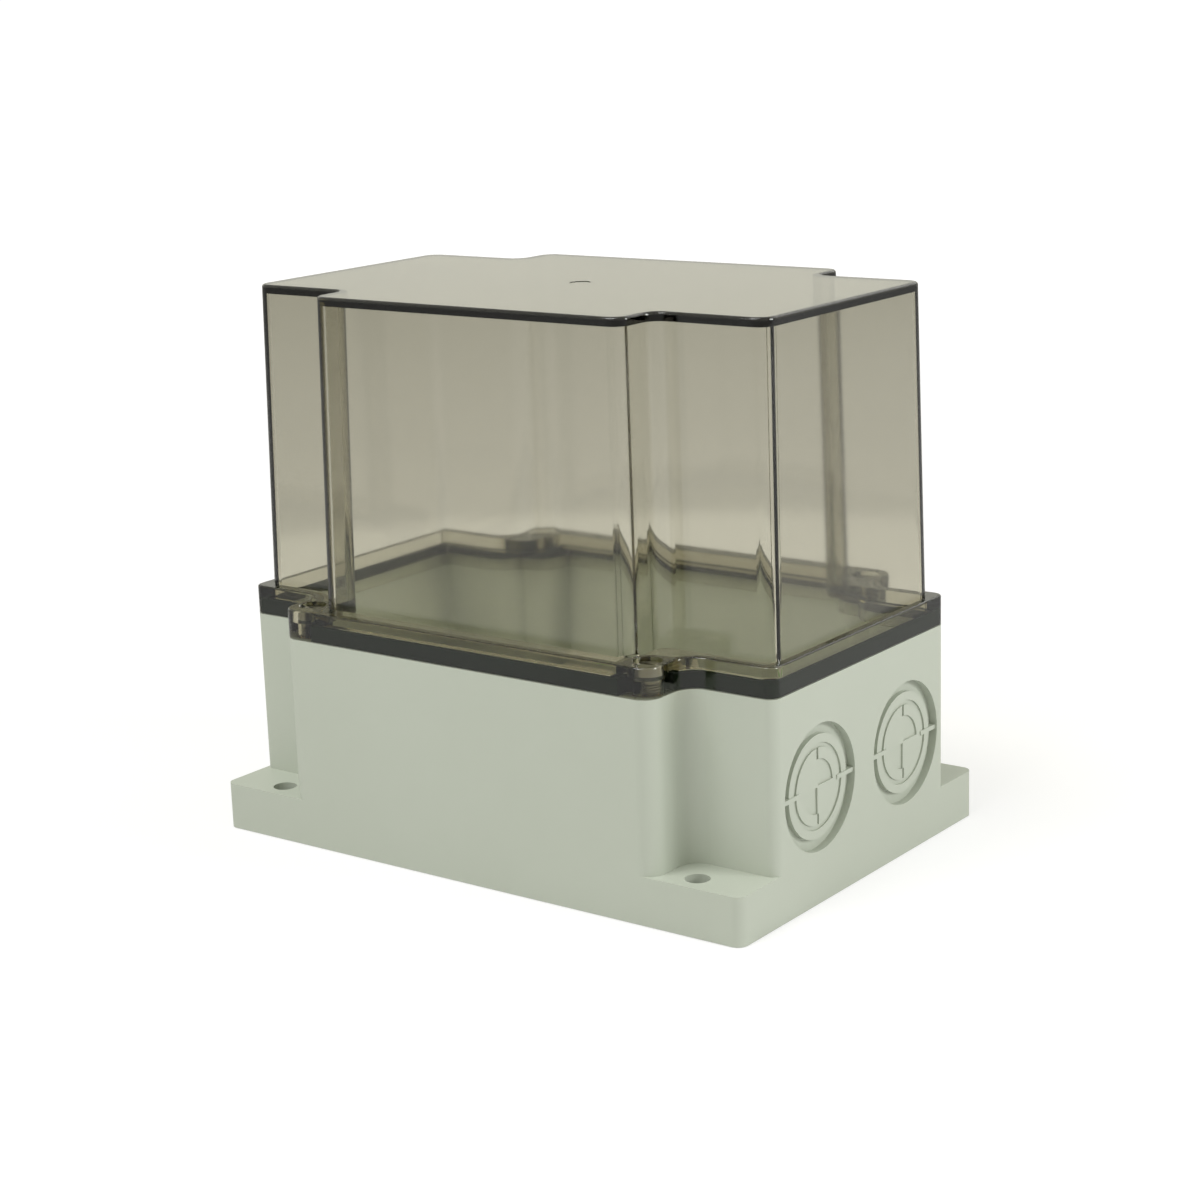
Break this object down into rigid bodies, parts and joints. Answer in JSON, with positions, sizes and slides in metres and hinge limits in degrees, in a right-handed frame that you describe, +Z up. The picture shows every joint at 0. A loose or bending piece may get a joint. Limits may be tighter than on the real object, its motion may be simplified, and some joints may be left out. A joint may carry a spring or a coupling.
{
  "type": "plastic junction box",
  "caption": "Wall-mounting junction box with a tall smoked see-through cover, knockout cable entries and rail terminals.",
  "frame": {"origin": "middle of the underside of the foot", "axes": "+X along the long side, towards the right short side in the picture; +Y across, away from the front long side; +Z up to the hood's top"},
  "size_m": [0.18, 0.122, 0.157],
  "materials": {
    "base_plastic": "fine matt texture",
    "smoked_plastic": "clear smoked, glossy",
    "seal_rubber": "matt",
    "screw_steel": "zinc plated",
    "insert_brass": "turned",
    "rail_steel": "zinc plated",
    "terminal_plastic": "satin",
    "earth_plastic": "satin",
    "clamp_brass": "nickel plated"
  },
  "bodies": {
    "box": {"base_box": "base_plastic", "insert_front_right": "insert_brass", "insert_front_left": "insert_brass", "insert_back_left": "insert_brass", "insert_back_right": "insert_brass", "din_rail": "rail_steel", "rail_screw_left": "screw_steel", "rail_screw_right": "screw_steel", "terminal_1": "terminal_plastic", "terminal_2": "terminal_plastic", "terminal_3": "terminal_plastic", "terminal_4": "terminal_plastic", "terminal_5": "terminal_plastic", "earth_terminal": "earth_plastic", "clamp_1": "clamp_brass", "clamp_2": "clamp_brass", "clamp_3": "clamp_brass", "clamp_4": "clamp_brass", "clamp_5": "clamp_brass", "earth_clamp": "clamp_brass", "terminal_screws": "screw_steel", "end_plate": "terminal_plastic", "end_stop_left": "terminal_plastic", "end_stop_right": "terminal_plastic", "stop_screw_left": "screw_steel", "stop_screw_right": "screw_steel"},
    "lid": {"cover": "smoked_plastic", "cover_seal": "seal_rubber"},
    "ring_front_right": {"screw_ring_front_right": "seal_rubber"},
    "screw_front_right": {"cover_screw_front_right": "screw_steel"},
    "ring_front_left": {"screw_ring_front_left": "seal_rubber"},
    "screw_front_left": {"cover_screw_front_left": "screw_steel"},
    "ring_back_left": {"screw_ring_back_left": "seal_rubber"},
    "screw_back_left": {"cover_screw_back_left": "screw_steel"},
    "ring_back_right": {"screw_ring_back_right": "seal_rubber"},
    "screw_back_right": {"cover_screw_back_right": "screw_steel"}
  },
  "joints": [
    {"name": "cover_lift", "type": "slide", "parent": "box", "child": "lid", "axis": [0, 0, 1], "range_m": [0, 0.12]},
    {"name": "screw_rise_front_right", "type": "slide", "parent": "lid", "child": "ring_front_right", "axis": [0, 0, 1], "range_m": [0, 0.007]},
    {"name": "screw_turn_front_right", "type": "hinge", "parent": "ring_front_right", "child": "screw_front_right", "pos_m": [0.058, -0.0535, 0.0662], "axis": [0, 0, 1], "range_deg": [0, 3600]},
    {"name": "screw_rise_front_left", "type": "slide", "parent": "lid", "child": "ring_front_left", "axis": [0, 0, 1], "range_m": [0, 0.007]},
    {"name": "screw_turn_front_left", "type": "hinge", "parent": "ring_front_left", "child": "screw_front_left", "pos_m": [-0.058, -0.0535, 0.0662], "axis": [0, 0, 1], "range_deg": [0, 3600]},
    {"name": "screw_rise_back_left", "type": "slide", "parent": "lid", "child": "ring_back_left", "axis": [0, 0, 1], "range_m": [0, 0.007]},
    {"name": "screw_turn_back_left", "type": "hinge", "parent": "ring_back_left", "child": "screw_back_left", "pos_m": [-0.058, 0.0535, 0.0662], "axis": [0, 0, 1], "range_deg": [0, 3600]},
    {"name": "screw_rise_back_right", "type": "slide", "parent": "lid", "child": "ring_back_right", "axis": [0, 0, 1], "range_m": [0, 0.007]},
    {"name": "screw_turn_back_right", "type": "hinge", "parent": "ring_back_right", "child": "screw_back_right", "pos_m": [0.058, 0.0535, 0.0662], "axis": [0, 0, 1], "range_deg": [0, 3600]}
  ],
  "couplings": [
    {"joint": "screw_turn_front_right", "follows": "screw_rise_front_right", "rad_per_m": 8975.9},
    {"joint": "screw_turn_front_left", "follows": "screw_rise_front_left", "rad_per_m": 8975.9},
    {"joint": "screw_turn_back_left", "follows": "screw_rise_back_left", "rad_per_m": 8975.9},
    {"joint": "screw_turn_back_right", "follows": "screw_rise_back_right", "rad_per_m": 8975.9}
  ]
}
